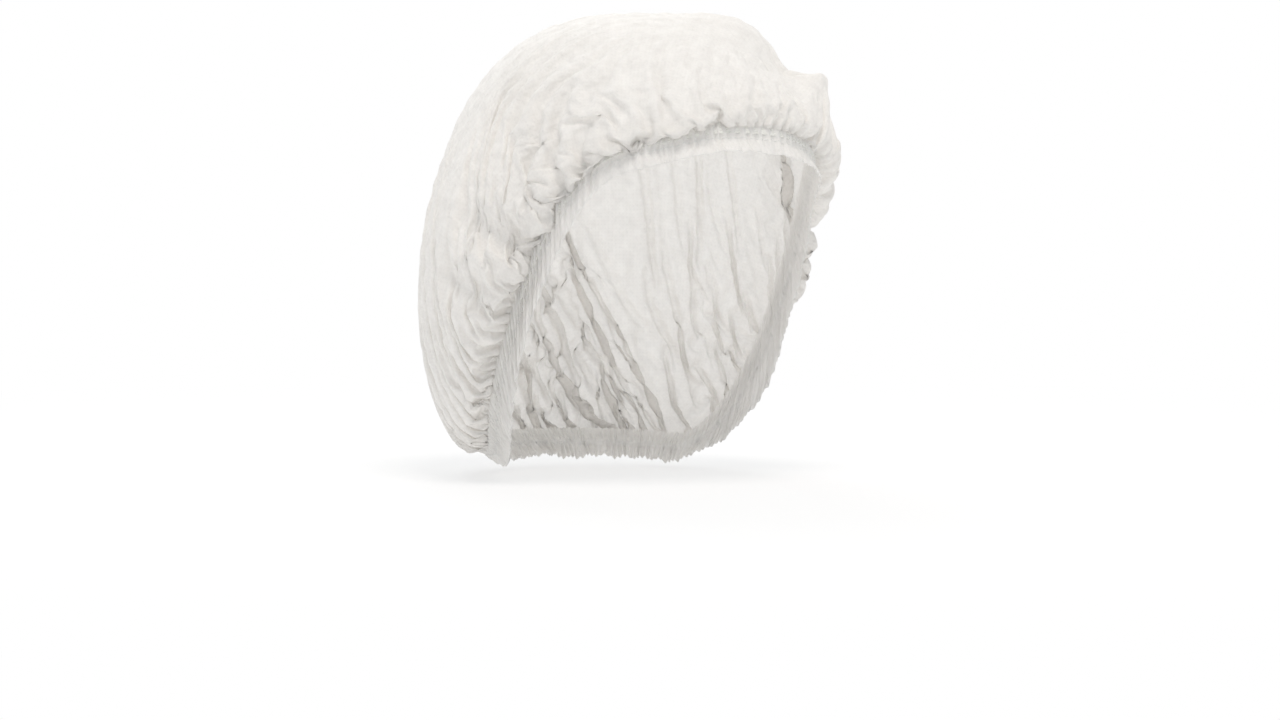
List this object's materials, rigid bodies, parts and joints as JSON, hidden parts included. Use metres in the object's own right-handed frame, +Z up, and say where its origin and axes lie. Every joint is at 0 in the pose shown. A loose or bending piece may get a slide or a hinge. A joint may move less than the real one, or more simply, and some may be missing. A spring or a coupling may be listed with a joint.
{
  "type": "disposable bouffant hair cap",
  "caption": "Loose round cap of thin non-woven sheet, shaped as worn, gathered on an elastic in a stitched casing with a narrow frill around the face and nape.",
  "frame": {"origin": "middle of the elastic opening: on the head's upright axis, level with the middle of the elastic's height; it is the mount head_opening", "axes": "+Z up as worn, the face looks along -Y, +X is the wearer's left"},
  "size_m": [0.1781, 0.1885, 0.2019],
  "materials": {
    "sheet": "thin translucent white non-woven polypropylene, matt with a faint sheen",
    "hem": "the same non-woven, doubled and finely gathered, so whiter and less translucent",
    "elastic": "flat braided elastic, off-white, matt",
    "thread": "fine polyester sewing thread, white, slight sheen"
  },
  "bodies": {
    "root": {"crown_sheet": "sheet", "hem_frill": "hem", "elastic_band": "elastic", "elastic_lap": "elastic", "lap_tacks": "thread", "seam_thread": "thread"}
  },
  "joints": []
}
